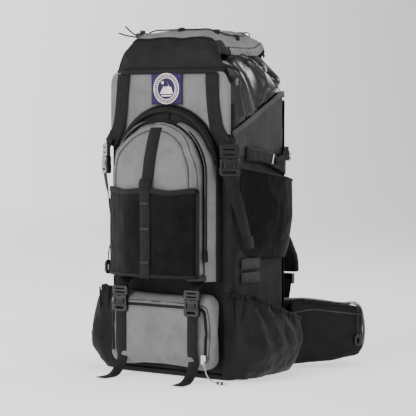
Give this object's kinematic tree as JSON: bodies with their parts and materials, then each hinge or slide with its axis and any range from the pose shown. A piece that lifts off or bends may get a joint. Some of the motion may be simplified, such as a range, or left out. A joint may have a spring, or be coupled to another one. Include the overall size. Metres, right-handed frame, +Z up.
{
  "type": "hiking backpack",
  "caption": "Top-loading hiking backpack with a strap-down floating lid, front, mesh, side and base pockets, padded harness and hip belt.",
  "frame": {"origin": "centre of the base panel's flat underside, on the floor", "axes": "+Z up along the pack, -Y towards the front pockets, +Y towards the wearer's back"},
  "size_m": [0.5028, 0.4989, 0.7073],
  "materials": {
    "ash_nylon": "matte",
    "black_nylon": "matte",
    "charcoal_nylon": "matte",
    "black_taffeta": "satin",
    "black_mesh": "matte",
    "webbing": "matte",
    "foam_pad": "matte",
    "black_acetal": "satin",
    "frame_plastic": "matte",
    "stay_aluminium": "satin",
    "zip_metal": "satin",
    "pull_cord": "matte",
    "lash_cord": "matte",
    "badge_cloth": "matte"
  },
  "bodies": {
    "sack": {"base_panel": "black_nylon", "front_panel": "black_nylon", "side_panels": "charcoal_nylon", "back_panel": "black_nylon", "compartment_divider": "black_taffeta", "storm_collar": "black_taffeta", "frame_sheet": "frame_plastic", "frame_stays": "stay_aluminium", "pocket_arch": "black_nylon", "front_pocket": "ash_nylon", "zip_tracks": "webbing", "mesh_pocket": "black_mesh", "centre_strap": "webbing", "bottom_pocket": "ash_nylon", "base_straps": "webbing", "base_buckle_males": "black_acetal", "bottle_pockets": "black_mesh", "lower_pockets": "charcoal_nylon", "side_webbing": "webbing", "compression_wings": "charcoal_nylon", "side_cord_locks": "black_acetal", "back_pads": "foam_pad", "shoulder_pads": "foam_pad", "harness_webbing": "webbing", "ladder_locks": "black_acetal", "haul_loop": "webbing"},
    "lid": {"lid_top": "black_nylon", "lid_apron": "ash_nylon", "lid_badge": "badge_cloth", "lid_straps": "webbing", "lid_buckle_males": "black_acetal", "lash_cord": "lash_cord", "lash_keepers": "webbing", "lash_lock": "black_acetal", "lash_tails": "lash_cord"},
    "lash_button": {"lash_button": "black_acetal"},
    "lid_buckle_right": {"lower_strap_right": "webbing", "lid_female_right": "black_acetal"},
    "lid_buckle_left": {"lower_strap_left": "webbing", "lid_female_left": "black_acetal"},
    "base_buckle_right": {"base_female_right": "black_acetal"},
    "base_buckle_left": {"base_female_left": "black_acetal"},
    "front_zip": {"front_slider": "zip_metal", "front_pull_cord": "pull_cord", "front_pull_ring": "black_acetal"},
    "bottom_zip": {"bottom_slider": "zip_metal", "bottom_pull_cord": "pull_cord", "bottom_pull_grip": "black_acetal"},
    "belt_right": {"belt_wing_right": "foam_pad", "belt_pocket_right": "black_nylon", "belt_strap_right": "webbing", "belt_buckle_female": "black_acetal"},
    "belt_left": {"belt_wing_left": "foam_pad", "belt_pocket_left": "black_nylon", "belt_strap_left": "webbing", "belt_buckle_male": "black_acetal"},
    "belt_zip_right": {"belt_slider_right": "zip_metal", "belt_pull_cord": "pull_cord", "belt_pull_ring": "black_acetal"},
    "belt_zip_left": {"belt_slider_left": "zip_metal"}
  },
  "joints": [
    {"name": "lid_hinge", "type": "hinge", "parent": "sack", "child": "lid", "pos_m": [0, 0.1, 0.6], "axis": [-1, 0, 0], "range_deg": [0, 110]},
    {"name": "lash_button_press", "type": "slide", "parent": "lid", "child": "lash_button", "axis": [0, 0, -1], "range_m": [0, 0.003], "stiffness_N_per_m": 400, "springref_m": -0.0005},
    {"name": "lid_buckle_right_swing", "type": "hinge", "parent": "sack", "child": "lid_buckle_right", "pos_m": [0.16, -0.073, 0.264], "axis": [1, 0, 0], "range_deg": [0, 110]},
    {"name": "lid_buckle_left_swing", "type": "hinge", "parent": "sack", "child": "lid_buckle_left", "pos_m": [-0.16, -0.073, 0.264], "axis": [1, 0, 0], "range_deg": [0, 110]},
    {"name": "base_buckle_right_pull", "type": "slide", "parent": "sack", "child": "base_buckle_right", "axis": [0, 0, -1], "range_m": [0, 0.025]},
    {"name": "base_buckle_left_pull", "type": "slide", "parent": "sack", "child": "base_buckle_left", "axis": [0, 0, -1], "range_m": [0, 0.025]},
    {"name": "front_zip_run", "type": "slide", "parent": "sack", "child": "front_zip", "axis": [0, 0, 1], "range_m": [0, 0.14]},
    {"name": "bottom_zip_run", "type": "slide", "parent": "sack", "child": "bottom_zip", "axis": [0, 0, 1], "range_m": [0, 0.08]},
    {"name": "belt_right_swing", "type": "hinge", "parent": "sack", "child": "belt_right", "pos_m": [0.104, 0.106, 0.07], "axis": [0, 0, 1], "range_deg": [-15, 25]},
    {"name": "belt_left_swing", "type": "hinge", "parent": "sack", "child": "belt_left", "pos_m": [-0.104, 0.106, 0.07], "axis": [0, 0, -1], "range_deg": [-15, 25]},
    {"name": "belt_zip_right_run", "type": "slide", "parent": "belt_right", "child": "belt_zip_right", "axis": [-0.598, -0.7936, 0.1118], "range_m": [0, 0.11]},
    {"name": "belt_zip_left_run", "type": "slide", "parent": "belt_left", "child": "belt_zip_left", "axis": [0.598, -0.7936, 0.1118], "range_m": [0, 0.11]}
  ],
  "couplings": [
    {"joint": "lid_buckle_right_swing", "follows": "lid_hinge", "ratio": 1},
    {"joint": "lid_buckle_left_swing", "follows": "lid_hinge", "ratio": 1}
  ]
}
